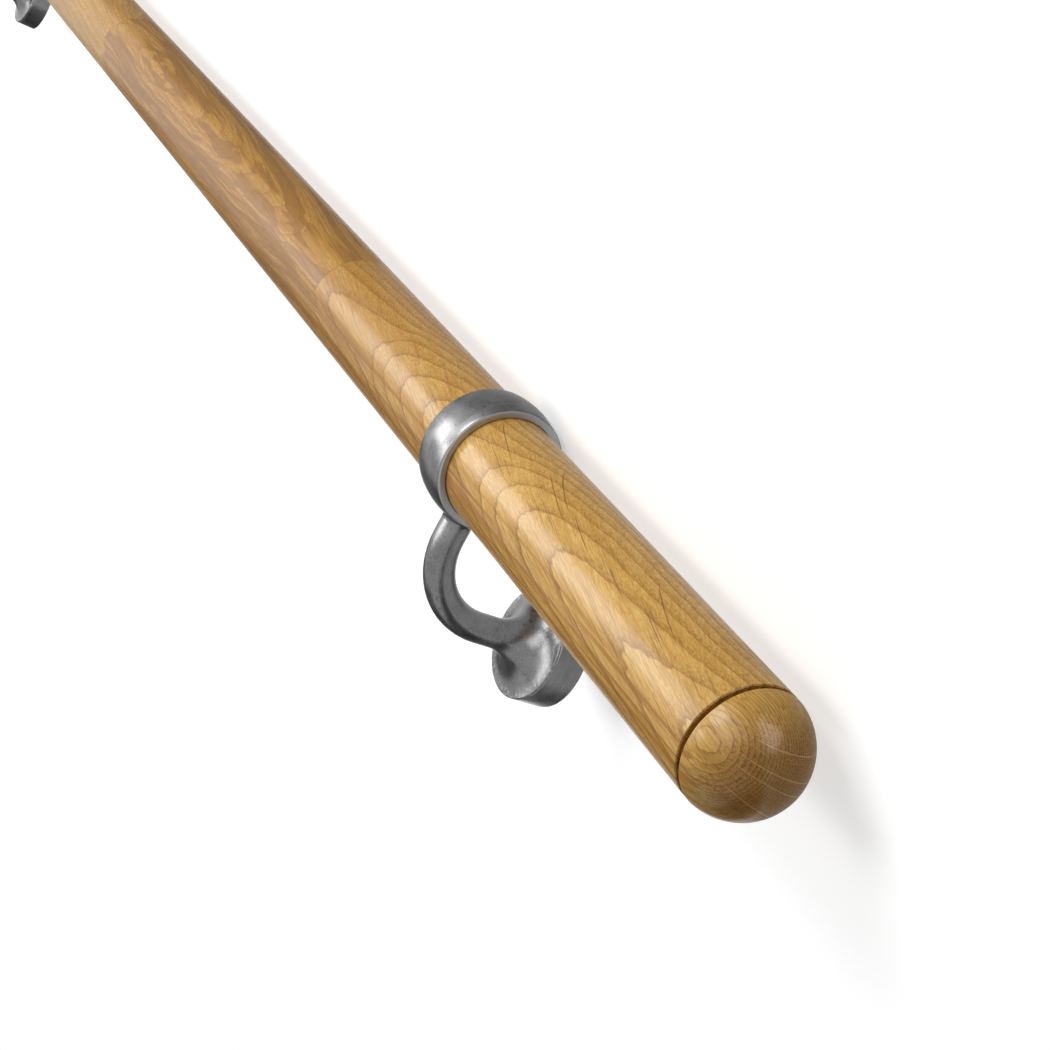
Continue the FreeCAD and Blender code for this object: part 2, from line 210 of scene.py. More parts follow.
def finger_joints(tree, block, along):
    """Fingers 8 mm apart and 12 mm long; gives each stave's turn, its eye, its tone and the glue line."""
    faced_ends_painted_reflection = add(tree, "VectorRotate", {"Vector": block, "Angle": math.radians(FINGER_TURN)},
                rotation_type="X_AXIS").outputs[0]
    depth = add(tree, "SeparateXYZ", {0: faced_ends_painted_reflection}).outputs["Z"]
    inner = add(tree, "Clamp", {0: depth, 1: -FINGER_EDGE, 2: FINGER_EDGE}).outputs[0]
    zigzag = add(tree, "Math", {0: inner, 1: HALF_PITCH}, operation="PINGPONG").outputs[0]
    reach = add(tree, "Math", {0: zigzag, 1: FINGER_SLOPE, 2: along}, operation="MULTIPLY_ADD").outputs[0]
    summed = {"turn": 0.0, "eye": 0.0, "tone": 0.0}
    seam = FAR_OFF
    for stave in STAVES:
        past = add(tree, "Math", {0: reach, 1: stave["joint"]}, operation="GREATER_THAN").outputs[0]
        steps = {"turn": math.radians(stave["turn"]), "eye": stave["eye"], "tone": stave["tone"]}
        for trait, step in steps.items():
            links = {0: past, 1: step, 2: summed[trait]}
            summed[trait] = add(tree, "Math", links, operation="MULTIPLY_ADD").outputs[0]
        off = add(tree, "Math", {0: reach, 1: stave["joint"]}, operation="SUBTRACT").outputs[0]
        off = add(tree, "Math", {0: off}, operation="ABSOLUTE").outputs[0]
        seam = add(tree, "Math", {0: off, 1: seam}, operation="MINIMUM").outputs[0]
    return summed["turn"], summed["eye"], summed["tone"], seam


def rings_passed(tree, from_eye):
    """Rings that the sloping grain has cut through at a distance from the eye, a whole number at each tip."""
    share = add(tree, "Math", {0: from_eye, 1: ARCH_SPAN}, operation="DIVIDE").outputs[0]
    climb = add(tree, "FloatCurve", {"Value": share})
    line = climb.mapping.curves[0]
    count = len(ARCH_TIPS) + 2
    line.points[0].location = (0.0, RINGS_AT_GAP / count)
    line.points[1].location = (1.0, (count - RINGS_LEFT) / count)
    for number, tip in enumerate(ARCH_TIPS):
        line.points.new(tip / ARCH_SPAN, (number + 2) / count)
    climb.mapping.extend = "EXTRAPOLATED"
    climb.mapping.update()
    return add(tree, "Math", {0: climb.outputs[0], 1: count}, operation="MULTIPLY").outputs[0]


def ring_marks(tree, rings, depth, turned, contrast):
    """A ring's dark line, crisp inside and fading outside, its porous early wood and its pale late wood."""
    phase = add(tree, "Math", {0: rings}, operation="FRACT").outputs[0]
    links = {"Value": depth, 1: 0.0, 2: LINE_DEPTH, 3: LINE_AT_FACE, 4: LINE_DEEP}
    width = add(tree, "MapRange", links).outputs[0]
    share = add(tree, "Math", {0: phase, 1: width}, operation="DIVIDE").outputs[0]
    fall = add(tree, "MapRange", {"Value": share, 1: 0.1, 2: 1.0, 3: 1.0, 4: 0.0}).outputs[0]
    rise = add(tree, "MapRange", {"Value": phase, 1: LINE_RISE, 2: 1.0}).outputs[0]
    ring_line = add(tree, "Math", {0: rise, 1: fall}, operation="MAXIMUM").outputs[0]
    early = add(tree, "MapRange", {"Value": share, 1: 0.0, 2: EARLY_LINES, 3: 1.0, 4: 0.0}).outputs[0]
    late = add(tree, "MapRange", {"Value": phase, 1: LATE_START, 2: LINE_RISE}).outputs[0]
    links = {"Value": depth, 1: 0.0, 2: LATE_DEPTH, 3: contrast, 4: LATE_DEEP}
    fade = add(tree, "MapRange", links).outputs[0]
    late = add(tree, "Math", {0: late, 1: fade}, operation="MULTIPLY").outputs[0]
    # The line is stronger in some stretches than in others.
    force = cell_noise(tree, turned, **OAK_CELLS["force"])
    ring_line = add(tree, "Math", {0: ring_line, 1: force}, operation="MULTIPLY").outputs[0]
    return ring_line, early, late


def hairline_checks(tree, along, side, places):
    """The few dark drying checks, 0.3 mm wide, that run along the fibres and taper at both ends."""
    found = 0.0
    for low, high, place in places:
        middle = (low + high) / 2
        half = (high - low) / 2
        reach = add(tree, "Math", {0: along, 1: middle}, operation="SUBTRACT").outputs[0]
        reach = add(tree, "Math", {0: reach}, operation="ABSOLUTE").outputs[0]
        taper = {"Value": reach, 1: half * CHECK_MIDDLE, 2: half, 3: CHECK_HALF, 4: 0.0}
        width = add(tree, "MapRange", taper).outputs[0]
        off = add(tree, "Math", {0: side, 1: place}, operation="SUBTRACT").outputs[0]
        off = add(tree, "Math", {0: off}, operation="ABSOLUTE").outputs[0]
        inside = add(tree, "Math", {0: width, 1: off}, operation="SUBTRACT").outputs[0]
        inside = add(tree, "MapRange", {"Value": inside, 1: 0.0, 2: CHECK_EDGE}).outputs[0]
        found = add(tree, "Math", {0: inside, 1: found}, operation="MAXIMUM").outputs[0]
    return found


def lacquered_oak(name, start, turn, pith, ring, lean, dive, wave, jointed, rays):
    """European oak, turned and satin lacquered: dark porous ring lines, fine fibres, hairline checks.

    Turn brings the bark side up; pith is its distance and ring a ring's width in mm. Lean is the fibres'
    slope across the piece, dive their slope into it and wave the rings' unevenness in mm.
    """
    material, tree, shader = new_material(name)
    coords = add(tree, "TexCoord").outputs
    block = add(tree, "Mapping", {"Vector": coords["Object"], "Location": start, "Scale": (MM, MM, MM),
                                  "Rotation": (math.radians(turn), 0, 0)}, vector_type="TEXTURE").outputs[0]
    along = add(tree, "SeparateXYZ", {0: block}).outputs["X"]
    # On the near stave and behind its joint, where finer, wilder rings draw out to long flames.
    grain = {"steep": (1 / ring, 2.6 / ring), "wild": (1.0, 4.0), "flames": (1.0, 0.15), "lean": (lean, 0.05),
             "first": (1.0, 0.0)}
    traits = {trait: near for trait, (near, behind) in grain.items()}
    stave_turn = 0.0
    if jointed:
        stave_turn, eye, stave_tone, seam = finger_joints(tree, block, along)
        for trait, (near, behind) in grain.items():
            links = {"Value": eye, 1: 0.0, 2: NEXT_STAVE, 3: near, 4: behind}
            traits[trait] = add(tree, "MapRange", links).outputs[0]
    turned = add(tree, "VectorRotate", {"Vector": block, "Angle": stave_turn},
                 rotation_type="X_AXIS").outputs[0]
    across = add(tree, "SeparateXYZ", {0: turned}).outputs

    # Ring number: depth below the face towards the bark, plus the rings that the sloping grain has passed.
    heart = across["Y"]
    if jointed:
        links = {"Value": along, 1: SWING_ENDS[0], 2: SWING_ENDS[1], 3: HEART_SWING, 4: 0.0}
        swing = add(tree, "MapRange", links).outputs[0]
        heart = add(tree, "Math", {0: across["Y"], 1: swing}, operation="SUBTRACT").outputs[0]
    section = add(tree, "CombineXYZ", {"Y": heart, "Z": across["Z"]}).outputs[0]
    radius = add(tree, "VectorMath", {0: section, 1: (0.0, 0.0, pith)}, operation="DISTANCE").outputs["Value"]
    depth = add(tree, "Math", {0: radius, 1: pith - RAIL_RADIUS}, operation="SUBTRACT").outputs[0]
    if jointed:
        from_eye = add(tree, "Math", {0: along, 1: eye}, operation="SUBTRACT").outputs[0]
        from_eye = add(tree, "Math", {0: from_eye}, operation="ABSOLUTE").outputs[0]
        passed = rings_passed(tree, from_eye)
    else:
        # A cap's fibres dive towards its tip, so that its rings close round an eye.
        links = {0: along, 1: dive / ring, 2: CAP_EYE / ring}
        passed = add(tree, "Math", links, operation="MULTIPLY_ADD").outputs[0]
    rings = add(tree, "Math", {0: depth, 1: traits["steep"], 2: passed}, operation="MULTIPLY_ADD").outputs[0]
    for pattern, strength in (("sway", traits["wild"]), ("ripple", 1.0)):
        uneven = cell_noise(tree, turned, **OAK_CELLS[pattern])
        uneven = add(tree, "MapRange", {"Value": uneven, 3: -wave / ring, 4: wave / ring}).outputs[0]
        rings = add(tree, "Math", {0: uneven, 1: strength, 2: rings}, operation="MULTIPLY_ADD").outputs[0]
    contrast = 0.4 if jointed else 0.15
    ring_line, early, late = ring_marks(tree, rings, depth, turned, contrast)

    # Fibre space: along the fibre, round the pith and outwards, so that pores follow the rings.
    to_pith = add(tree, "Math", {0: pith, 1: across["Z"]}, operation="SUBTRACT").outputs[0]
    around = add(tree, "Math", {0: across["Y"], 1: to_pith}, operation="ARCTAN2").outputs[0]
    around = add(tree, "Math", {0: around, 1: pith}, operation="MULTIPLY").outputs[0]
    if jointed:
        # The lines are softer on the front flank and faint behind the first joint.
        links = {"Value": around, 1: FRONT_ZONE[0], 2: FRONT_ZONE[1], 3: FRONT_LINES, 4: 1.0}
        faint = add(tree, "MapRange", links).outputs[0]
        ring_line = add(tree, "Math", {0: ring_line, 1: faint}, operation="MULTIPLY").outputs[0]
        ring_line = add(tree, "Math", {0: ring_line, 1: traits["flames"]}, operation="MULTIPLY").outputs[0]
    side = add(tree, "Math", {0: along, 1: traits["lean"], 2: around}, operation="MULTIPLY_ADD").outputs[0]
    outward = add(tree, "Math", {0: rings, 1: ring}, operation="MULTIPLY").outputs[0]
    fibre = add(tree, "CombineXYZ", {"X": along, "Y": side, "Z": outward}).outputs[0]

    # Pores crowd in the early wood.
    pore_noise = cell_noise(tree, fibre, **OAK_CELLS["pores"])
    crowd = add(tree, "Math", {0: early, 1: PORE_CROWD, 2: pore_noise}, operation="MULTIPLY_ADD").outputs[0]
    pores = add(tree, "MapRange", {"Value": crowd, 1: PORE_CUT[0], 2: PORE_CUT[1]},
                interpolation_type="SMOOTHSTEP").outputs[0]

    # Fibre bundles 0.5 mm wide comb the face; dark hairs and a few long checks lie between them.
    bundles = cell_noise(tree, fibre, **OAK_CELLS["fibre_bundles"])
    comb = add(tree, "MapRange", {"Value": bundles, 1: BUNDLE_CUT[0], 2: BUNDLE_CUT[1]}).outputs[0]
    hair = cell_noise(tree, fibre, **OAK_CELLS["hairs_on_rail" if jointed else "hairs_on_cap"])
    # The hairs fade where the face turns away from the bark.
    off_face = add(tree, "Math", {0: around}, operation="ABSOLUTE").outputs[0]
    links = {"Value": off_face, 1: HAIR_ZONE[0], 2: HAIR_ZONE[1], 3: HAIR_COVERS, 4: 0.0}
    most = add(tree, "MapRange", links).outputs[0]
    hairs = add(tree, "MapRange", {"Value": hair, 1: HAIR_CUT[0], 2: HAIR_CUT[1], 4: most}).outputs[0]
    drawn = hairline_checks(tree, along, side, CHECKS if jointed else CAP_CHECKS)
    checks = add(tree, "Math", {0: hairs, 1: drawn}, operation="MAXIMUM").outputs[0]

    # Small rays run outwards.
    spokes = cell_noise(tree, fibre, **OAK_CELLS["small_rays"])

    # The ground drifts from golden to pale, a hand wide along the rail, and has browner bands.
    drift = cell_noise(tree, fibre, **OAK_CELLS["drift"])
    bands = cell_noise(tree, fibre, **OAK_CELLS["bands"])

    # One flank is cut nearer to the quarter, where brown streaks 2 mm wide and finer crowd together.
    straight = add(tree, "CombineXYZ", {"X": along, "Y": across["Y"], "Z": depth}).outputs[0]
    flank = cell_noise(tree, straight, **OAK_CELLS["quarter"])
    links = {"Value": around, 1: QUARTER_ZONE[0], 2: QUARTER_ZONE[1],
             3: QUARTER_COVERS[0], 4: QUARTER_COVERS[1]}
    quarter = add(tree, "MapRange", links).outputs[0]

    # End grain drinks more lacquer and stays darker; how dark it is made is also painted shade on the caps'
    # domes.
    facing = add(tree, "SeparateXYZ", {0: coords["Normal"]}).outputs["X"]
    facing = add(tree, "Math", {0: facing}, operation="ABSOLUTE").outputs[0]
    end_grain_and_shade = add(tree, "MapRange", {"Value": facing, 1: END_FACING[0], 2: END_FACING[1]},
                  interpolation_type="SMOOTHSTEP").outputs[0]
    ray_tone = add(tree, "Mix", {0: end_grain_and_shade, 6: OAK["ray_on_face"], 7: OAK["ray_on_end"]},
                   data_type="RGBA").outputs[2]
    pore_most = add(tree, "MapRange", {"Value": end_grain_and_shade, 3: PORE_COVERS[0], 4: PORE_COVERS[1]}).outputs[0]

    # Layers from the ground up: where each lies, the most that it covers, how it blends and its colour.
    layers = [
        (late, 1.0, "MIX", OAK["late_wood"]),
        (early, contrast, "MIX", OAK["early_wood"]),
        (bands, 1.0, "MIX", OAK["band"]),
        (flank, quarter, "MIX", OAK["quarter_streak"]),
        (comb, BUNDLE_COVERS, "MIX", OAK["fibre_bundle"]),
    ]
    if jointed:
        # Behind the first joint dark tongues 8 mm wide lick along the fibres, with crisp edges.
        tongues = cell_noise(tree, fibre, **OAK_CELLS["tongues"])
        layers.append((tongues, stave_tone, "MIX", OAK["tongue"]))
        # The near stave darkens towards its joint, and the next ones are browner.
        links = {"Value": along, 1: SHADE_ENDS[0], 2: SHADE_ENDS[1], 3: 0.0, 4: JOINT_SHADE}
        deeper = add(tree, "MapRange", links).outputs[0]
        links = {0: deeper, 1: traits["first"], 2: stave_tone}
        browner = add(tree, "Math", links, operation="MULTIPLY_ADD").outputs[0]
        layers.append((browner, 1.0, "MULTIPLY", OAK["brown_stave"]))
    layers += [
        # The end-grain layer: real darker end grain, partly painted shade on the caps.
        (end_grain_and_shade, 0.6, "MIX", OAK["end_grain_and_painted_shade"]),
        (spokes, 0.3, "MIX", ray_tone),
        (ring_line, 0.8 if jointed else 0.55, "MIX", OAK["ring_line"]),
        (pores, pore_most, "MIX", OAK["pore"]),
        (checks, 0.75, "MIX", OAK["check"]),
    ]
    if jointed:
        links = {"Value": seam, 1: GLUE_EDGE[0], 2: GLUE_EDGE[1], 3: THIN_COVERS, 4: 0.0}
        glue = add(tree, "MapRange", links).outputs[0]
        layers.append((glue, 1.0, "MIX", OAK["glue"]))
    # The broad rays start well inside the rings.
    inner = add(tree, "MapRange", {"Value": depth, 1: RAY_DEPTH[0], 2: RAY_DEPTH[1]}).outputs[0]
    inner = add(tree, "Math", {0: inner, 1: end_grain_and_shade}, operation="MULTIPLY").outputs[0]
    for ray in rays:
        off = add(tree, "Math", {0: around, 1: ray}, operation="SUBTRACT").outputs[0]
        off = add(tree, "Math", {0: off}, operation="ABSOLUTE").outputs[0]
        links = {"Value": off, 1: RAY_EDGE[0], 2: RAY_EDGE[1], 3: THIN_COVERS, 4: 0.0}
        thin = add(tree, "MapRange", links).outputs[0]
        layers.append((thin, inner, "MIX", OAK["broad_ray"]))
    wood = add(tree, "Mix", {0: drift, 6: OAK["golden"], 7: OAK["straw"]}, data_type="RGBA").outputs[2]
    for mark, covers, blend, colour in layers:
        amount = add(tree, "Math", {0: mark, 1: covers}, operation="MULTIPLY").outputs[0]
        wood = add(tree, "Mix", {0: amount, 6: wood, 7: colour}, data_type="RGBA",
                   blend_type=blend).outputs[2]

    links = {"Value": bundles, 1: 0.3, 2: 0.7, 3: LACQUER_ROUGH[0], 4: LACQUER_ROUGH[1]}
    rough = add(tree, "MapRange", links).outputs[0]
    bump = add(tree, "Bump", {"Strength": 0.2, "Distance": 0.1 * MM, "Height": pores}, invert=True).outputs[0]
    tree.links.new(wood, shader.inputs["Base Color"])
    tree.links.new(rough, shader.inputs["Roughness"])
    tree.links.new(bump, shader.inputs["Normal"])
    # A thin satin lacquer gives a soft, wide highlight.
    shader.inputs["IOR"].default_value = 1.5
    shader.inputs["Specular IOR Level"].default_value = 0.08
    shader.inputs["Coat Weight"].default_value = 0.55
    shader.inputs["Coat Roughness"].default_value = 0.24
    return material


# Nickel plating: the clouds in it, its brushed lines, its pits, the worn rim, and the painted reflection on
# the collar's faced ends.
NICKEL = {
    "dark_cloud": linear("#6A6A6B"),
    "pale_cloud": linear("#7C7C7C"),
    "brushed": linear("#929292"),
    "pit": linear("#3A3A3C"),
    # Pale worn metal on the foot's rim, and a painted reflection of bright surroundings on the collar's faced
    # ends.
    "wear_and_painted_reflection": linear("#B2B2B4"),
}
# Its patterns, with sizes in mm in the brackets' frame: along the rail, out from the wall and up.
NICKEL_CELLS = {
    "cast_skin": {"size": (0.7, 0.7, 0.7), "detail": 2.0},
    "dents": {"size": (1.6, 1.6, 1.6), "detail": 1.0},
    "clouds": {"size": (8, 8, 8), "detail": 3.0, "cut": (0.33, 0.67)},
    # Brushing lines 0.4 mm apart: round the rail on a collar, round the bolt on a rose.
    "collar_lines": {"size": (0.4, 14, 14), "detail": 2.0},
    "rose_lines": {"size": (14, 0.4, 14), "detail": 2.0},
}
# The brackets' frame: how far the block is turned so that its Z is the mounted object's up.
MOUNTED_TURN = 130.38
RAIL_MIDDLE = 751.0
BRACKET_REACH = 550.0
COLLAR_HALF = 10.5
# Radii within which a bracket is its collar, and within which the collar's end is faced.
COLLAR_EDGE = (28.5, 30.5)
FACED_EDGE = (25.4, 25.8)
# The faced end is this thin a skin, and the foot's worn rim this close to its seam with the rose, in mm.
FACED_SKIN = (0.35, 0.15)
FOOT_SEAM = -58.6
WORN_RIM = (2.2, 0.5)
BARE_COVERS = 0.8
# Noise levels between which a pit, a worn spot or a brushed line shows, and how strongly.
PIT_CUT = (0.66, 0.76)
PIT_COVERS = 0.55
SPOT_CUT = (0.54, 0.66)
LINE_CUT = (0.4, 0.62)
LINE_COVERS = 0.3
COLLAR_BRUSHED = 0.85
SATIN_ROUGH = (0.25, 0.33)
BARE_ROUGHER = 0.2
PIT_DEPTH = -0.5


def satin_nickel(name, cast):
    """Zinc, nickel plated: satin grey, cast skin with pits on the bracket, fine turning lines on the rose."""
    material, tree, shader = new_material(name)
    coord = add(tree, "TexCoord").outputs["Object"]
    upright = (math.radians(MOUNTED_TURN), 0, 0)
    block = add(tree, "Mapping", {"Vector": coord, "Location": NEAR_START, "Scale": (MM, MM, MM),
                                  "Rotation": upright}, vector_type="TEXTURE").outputs[0]
    cloud = cell_noise(tree, block, **NICKEL_CELLS["clouds"])
    lines = cell_noise(tree, block, **NICKEL_CELLS["collar_lines" if cast else "rose_lines"])
    if cast:
        place = add(tree, "SeparateXYZ", {0: block}).outputs
        off_collar = place["X"]
        for middle in (RAIL_MIDDLE, BRACKET_REACH):
            off_collar = add(tree, "Math", {0: off_collar, 1: middle}, operation="SUBTRACT").outputs[0]
            off_collar = add(tree, "Math", {0: off_collar}, operation="ABSOLUTE").outputs[0]
        flat = add(tree, "CombineXYZ", {"Y": place["Y"], "Z": place["Z"]}).outputs[0]
        radius = add(tree, "VectorMath", {0: flat}, operation="LENGTH").outputs["Value"]
        skin = cell_noise(tree, block, **NICKEL_CELLS["cast_skin"])
        dents = cell_noise(tree, block, **NICKEL_CELLS["dents"])
        pits = add(tree, "MapRange", {"Value": dents, 1: PIT_CUT[0], 2: PIT_CUT[1]}).outputs[0]
        links = {"Value": radius, 1: COLLAR_EDGE[0], 2: COLLAR_EDGE[1], 3: COLLAR_BRUSHED, 4: 0.0}
        on_collar = add(tree, "MapRange", links).outputs[0]
        lines = add(tree, "Mix", {0: on_collar, 2: skin, 3: lines}).outputs[0]

    grey = add(tree, "Mix", {0: cloud, 6: NICKEL["dark_cloud"], 7: NICKEL["pale_cloud"]},
               data_type="RGBA").outputs[2]
    links = {"Value": lines, 1: LINE_CUT[0], 2: LINE_CUT[1], 3: 0.0, 4: LINE_COVERS}
    tint = add(tree, "MapRange", links).outputs[0]
    grey = add(tree, "Mix", {0: tint, 6: grey, 7: NICKEL["brushed"]}, data_type="RGBA").outputs[2]
    rough = add(tree, "MapRange", {"Value": cloud, 3: SATIN_ROUGH[0], 4: SATIN_ROUGH[1]}).outputs[0]
    if cast:
        amount = add(tree, "Math", {0: pits, 1: PIT_COVERS}, operation="MULTIPLY").outputs[0]
        grey = add(tree, "Mix", {0: amount, 6: grey, 7: NICKEL["pit"]}, data_type="RGBA").outputs[2]
        # The collar's faced ends are painted paler, a painted reflection of bright surroundings, and the
        # foot's rim is worn bright in spots.
        links = {"Value": off_collar, 1: COLLAR_HALF - FACED_SKIN[0], 2: COLLAR_HALF - FACED_SKIN[1]}
        faced_ends_painted_reflection = add(tree, "MapRange", links).outputs[0]
        links = {"Value": radius, 1: FACED_EDGE[0], 2: FACED_EDGE[1], 3: BARE_COVERS, 4: 0.0}
        within = add(tree, "MapRange", links).outputs[0]
        faced_ends_painted_reflection = add(tree, "Math", {0: faced_ends_painted_reflection, 1: within}, operation="MULTIPLY").outputs[0]
        links = {"Value": place["Y"], 1: FOOT_SEAM + WORN_RIM[0], 2: FOOT_SEAM + WORN_RIM[1], 3: 0.0,
                 4: BARE_COVERS}
        rim = add(tree, "MapRange", links).outputs[0]
        spots = add(tree, "MapRange", {"Value": dents, 1: SPOT_CUT[0], 2: SPOT_CUT[1]}).outputs[0]
        rim = add(tree, "Math", {0: rim, 1: spots}, operation="MULTIPLY").outputs[0]
        # Real wear on the rim, together with the painted reflection on the faced ends.
        wear_and_painted_reflection = add(tree, "Math", {0: faced_ends_painted_reflection, 1: rim}, operation="MAXIMUM").outputs[0]
        grey = add(tree, "Mix", {0: wear_and_painted_reflection, 6: grey, 7: NICKEL["wear_and_painted_reflection"]}, data_type="RGBA").outputs[2]
        rough = add(tree, "Math", {0: wear_and_painted_reflection, 1: BARE_ROUGHER, 2: rough}, operation="MULTIPLY_ADD").outputs[0]
        lines = add(tree, "Math", {0: pits, 1: PIT_DEPTH, 2: lines}, operation="MULTIPLY_ADD").outputs[0]
    bump = add(tree, "Bump", {"Strength": 0.16, "Distance": 0.2 * MM, "Height": lines}).outputs[0]
    tree.links.new(grey, shader.inputs["Base Color"])
    tree.links.new(rough, shader.inputs["Roughness"])
    tree.links.new(bump, shader.inputs["Normal"])
    shader.inputs["Metallic"].default_value = 1.0
    return material


# The floor's glow: near the handrail and far off, the distances in m between, and the oval's stretch.
GLOW_NEAR = 0.46
GLOW_FAR = 0.84
GLOW_FROM = 0.35
GLOW_TO = 0.9
OVAL_STRETCH = 2.2


def seen_directly(tree):
    """1 for what the camera, a mirror or a glass sees, 0 for light on matt surfaces."""
    path = add(tree, "LightPath").outputs
    seen = path["Is Camera Ray"]
    for ray in ("Is Glossy Ray", "Is Transmission Ray"):
        seen = add(tree, "Math", {0: seen, 1: path[ray]}, operation="MAXIMUM").outputs[0]
    return seen


def white_floor(name):
    """Matt white floor that the camera sees as white, dimmer near the handrail so that its shadow shows."""
    material = bpy.data.materials.new(name)
    material.use_nodes = True
    tree = material.node_tree
    tree.nodes.clear()
    # The glow rises from an oval round the handrail to where the lamps no longer reach.
    coord = add(tree, "TexCoord").outputs["Object"]
    squeeze = (1 / OVAL_STRETCH, 1.0, 1.0)
    oval = add(tree, "VectorMath", {0: coord, 1: squeeze}, operation="MULTIPLY").outputs[0]
    away = add(tree, "VectorMath", {0: oval}, operation="LENGTH").outputs["Value"]
    links = {"Value": away, 1: GLOW_FROM, 2: GLOW_TO, 3: GLOW_NEAR, 4: GLOW_FAR}
    glow = add(tree, "MapRange", links).outputs[0]
    glow = add(tree, "Math", {0: seen_directly(tree), 1: glow}, operation="MULTIPLY").outputs[0]
    matt = add(tree, "BsdfDiffuse", {"Color": linear("#D8D8D8")}).outputs[0]
    white = add(tree, "Emission", {"Color": WHITE, "Strength": glow}).outputs[0]
    both = add(tree, "AddShader", {0: matt, 1: white}).outputs[0]
    add(tree, "OutputMaterial", {"Surface": both})
    return material


oak_rail = lacquered_oak("lacquered_oak_rail", NEAR_START, turn=51.4, pith=120.0, ring=4.2, lean=0.235,
                         dive=0.0, wave=0.5, jointed=True, rays=())
oak_cap_near = lacquered_oak("lacquered_oak_cap_near", NEAR_START, turn=48.0, pith=75.0, ring=1.15, lean=0.25,
                             dive=0.4, wave=0.3, jointed=False, rays=CAP_RAYS)
oak_cap_far = lacquered_oak("lacquered_oak_cap_far", FAR_START, turn=160.0, pith=60.0, ring=1.4, lean=0.05,
                            dive=-0.3, wave=0.35, jointed=False, rays=CAP_RAYS)
casting = satin_nickel("satin_nickel_casting", cast=True)
turned_rose = satin_nickel("satin_nickel_turned", cast=False)

finishes = {
    "rail": oak_rail,
    "end_cap_near": oak_cap_near,
    "end_cap_far": oak_cap_far,
    "bracket_near": casting,
    "bracket_far": casting,
    "wall_rose_near": turned_rose,
    "wall_rose_far": turned_rose,
}
for node_name, finish in finishes.items():
    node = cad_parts[node_name]
    node.material_slots[0].material = finish

# Floor.
FLOOR_HALF = 6.0
floor_mesh = bmesh.new()
bmesh.ops.create_grid(floor_mesh, x_segments=1, y_segments=1, size=FLOOR_HALF)
floor_data = bpy.data.meshes.new("studio_floor")
floor_mesh.to_mesh(floor_data)
floor_mesh.free()
floor_data.materials.append(white_floor("matt_white_floor"))
floor = bpy.data.objects.new("studio_floor", floor_data)
bpy.context.scene.collection.objects.link(floor)

# World: white to the camera and in reflections, a plain soft fill on matt surfaces.
SKY_FILL = 0.26
SKY_SEEN = 1.0
world = bpy.data.worlds.new("studio")
world.use_nodes = True
sky = world.node_tree
sky.nodes.clear()
sky_level = add(sky, "MapRange", {"Value": seen_directly(sky), 3: SKY_FILL, 4: SKY_SEEN}).outputs[0]
sky_glow = add(sky, "Background", {"Color": WHITE, "Strength": sky_level}).outputs[0]
add(sky, "OutputWorld", {"Surface": sky_glow})
bpy.context.scene.world = world


def soft_box(name, place, aim, width, height, watts, mirrored=True):
    """A rectangular studio lamp at place, facing aim; a fill isn't mirrored."""
    lamp = bpy.data.lights.new(name, "AREA")
    lamp.shape = "RECTANGLE"
    lamp.size = width
    lamp.size_y = height
    lamp.energy = watts
    holder = bpy.data.objects.new(name, lamp)
    facing = Vector(aim) - Vector(place)
    holder.rotation_euler = facing.to_track_quat("-Z", "Y").to_euler()
    holder.location = place
    holder.visible_glossy = mirrored
    bpy.context.scene.collection.objects.link(holder)


def by_rail(along, out, up):
    """A place in the studio: m along the rail from the near gap, out towards the wall side and up."""
    return (NEAR_GAP_X + along, AXIS_Y + out, AXIS_Z + up)


# A box in front lights the faces and one above lights the top.
soft_box("front_box", by_rail(0.45, -1.36, 0.5), by_rail(0.1, 0, 0), width=1.0, height=0.6, watts=17.2)
soft_box("top_box", by_rail(0.6, -0.6, 1.05), by_rail(0.2, 0, 0), width=1.0, height=0.45, watts=7.0)
# Two weaker boxes fill the wall side and the far end.
soft_box("back_box", by_rail(1.2, 1.6, 0.8), by_rail(0.8, 0, 0), width=1.8, height=0.8, watts=22.0,
         mirrored=False)
END_PLACE = (FAR_GAP_X + 0.25, AXIS_Y - 0.75, AXIS_Z + 0.6)
soft_box("end_box", END_PLACE, FAR_START, width=0.8, height=0.5, watts=5.0, mirrored=False)


def studio_card(name, place, aim, width, height, level):
    """A studio card of one grey level that only reflections see."""
    panel = bmesh.new()
    bmesh.ops.create_grid(panel, x_segments=1, y_segments=1, size=0.5)
    bmesh.ops.scale(panel, vec=(width, height, 1.0), verts=panel.verts)
    facing = (Vector(aim) - Vector(place)).to_track_quat("Z", "Y").to_matrix()
    bmesh.ops.rotate(panel, cent=(0, 0, 0), matrix=facing, verts=panel.verts)
    bmesh.ops.translate(panel, vec=place, verts=panel.verts)
    data = bpy.data.meshes.new(name)
    panel.to_mesh(data)
    panel.free()
    material, _, shader = new_material("matt_" + name)
    shader.inputs["Base Color"].default_value = linear("#000000")
    shader.inputs["Roughness"].default_value = 1.0
    shader.inputs["Emission Color"].default_value = WHITE
    shader.inputs["Emission Strength"].default_value = level
    data.materials.append(material)
    card = bpy.data.objects.new(name, data)
    card.visible_camera = False
    card.visible_diffuse = False
    card.visible_shadow = False
    bpy.context.scene.collection.objects.link(card)


def floor_card(name, x, y, width, height, level, lift=2 * MM):
    """A card that lies on the floor, facing up."""
    studio_card(name, (x, y, lift), (x, y, 1.0), width, height, level)


NEAR_COLLAR = by_rail(0.2, 0, 0)
# A bright panel beyond the far end draws the rail's pale highlight.
studio_card("far_panel", by_rail(3.1, -1.43, 1.68), by_rail(3.1, 0, 0), width=2.0, height=1.3, level=8.0)
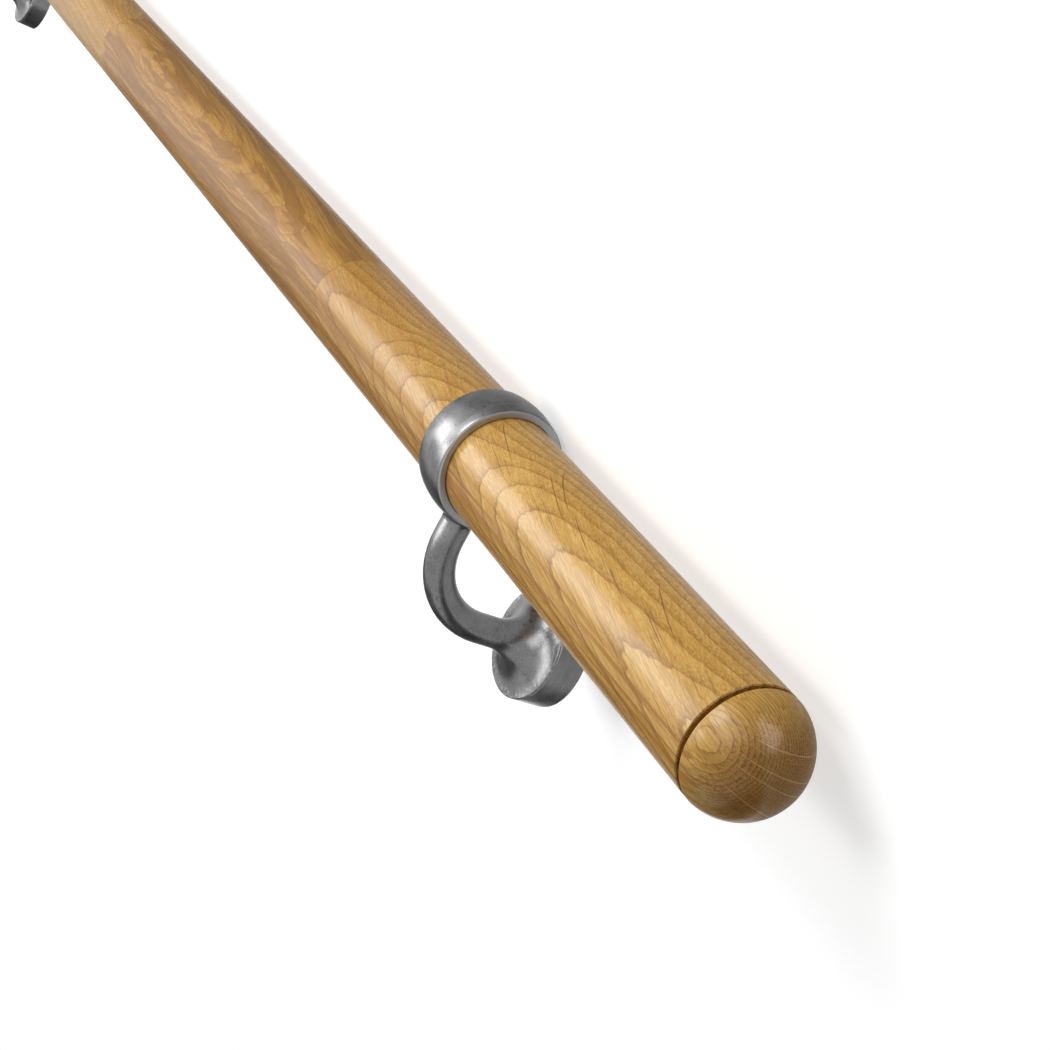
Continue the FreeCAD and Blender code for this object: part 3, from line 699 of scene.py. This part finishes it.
# Dark cards on the wall side keep the sky out of the metal and out of the rail's upper flank.
studio_card("back_card", (NEAR_GAP_X - 0.1, 0.9, 0.28), NEAR_COLLAR, width=2.0, height=0.56, level=0.08)
studio_card("side_card", by_rail(1.9, 0.8, 0.5), by_rail(1.9, 0, 0), width=3.4, height=1.0, level=0.12)
# A low card behind the camera keeps the near cap's middle brown, and a pale one in front lifts the metal.
studio_card("camera_card", (NEAR_GAP_X - 1.3, AXIS_Y, 0.1), NEAR_START, width=2.2, height=0.36, level=0.15)
studio_card("pale_card", by_rail(-0.3, -1.25, 0.58), NEAR_COLLAR, width=1.1, height=1.0, level=3.3)
# Flags lie along the rail's front, so that it and its cap mirror a mid grey there.
FLAG_Y = AXIS_Y - 0.232
floor_card("floor_flag", NEAR_GAP_X, FLAG_Y, width=0.76, height=0.44, level=0.44)
floor_card("far_flag", NEAR_GAP_X + 1.04, FLAG_Y, width=1.32, height=0.44, level=0.2)
# Two more lie under the near cap and under the near bracket.
floor_card("cap_flag", NEAR_GAP_X - 0.03, AXIS_Y + 0.1, width=0.14, height=0.22, level=0.4)
floor_card("arm_flag", NEAR_GAP_X + 0.15, 0.05, width=0.2, height=0.24, level=0.75)
# A small white card on the floor puts the pale glint on the near cap.
floor_card("glint_card", NEAR_GAP_X - 0.05, AXIS_Y - 0.048, width=0.05, height=0.05, level=5.0, lift=3 * MM)

# Camera, fitted to the rail's edges, the gap, the collar and the rose in the picture.
EYE = Vector((NEAR_GAP_X - 0.405, -0.4270, 0.2098))
LOOK = Vector((0.7977, 0.5476, -0.2526)).normalized()
UP_HINT = Vector((0.4589, -0.8229, -0.3350))
SENSOR_WIDTH = 36.0
FOCAL_LENGTH = 66.13
rightward = LOOK.cross(UP_HINT).normalized()
upward = rightward.cross(LOOK)
lens = bpy.data.cameras.new("camera")
lens.sensor_width = SENSOR_WIDTH
lens.lens = FOCAL_LENGTH
lens.clip_start = 10 * MM
camera = bpy.data.objects.new("camera", lens)
turned_camera = Matrix((rightward, upward, -LOOK)).transposed().to_4x4()
camera.matrix_world = Matrix.Translation(EYE) @ turned_camera
bpy.context.scene.collection.objects.link(camera)
bpy.context.scene.camera = camera
bpy.context.scene.view_settings.view_transform = "Standard"
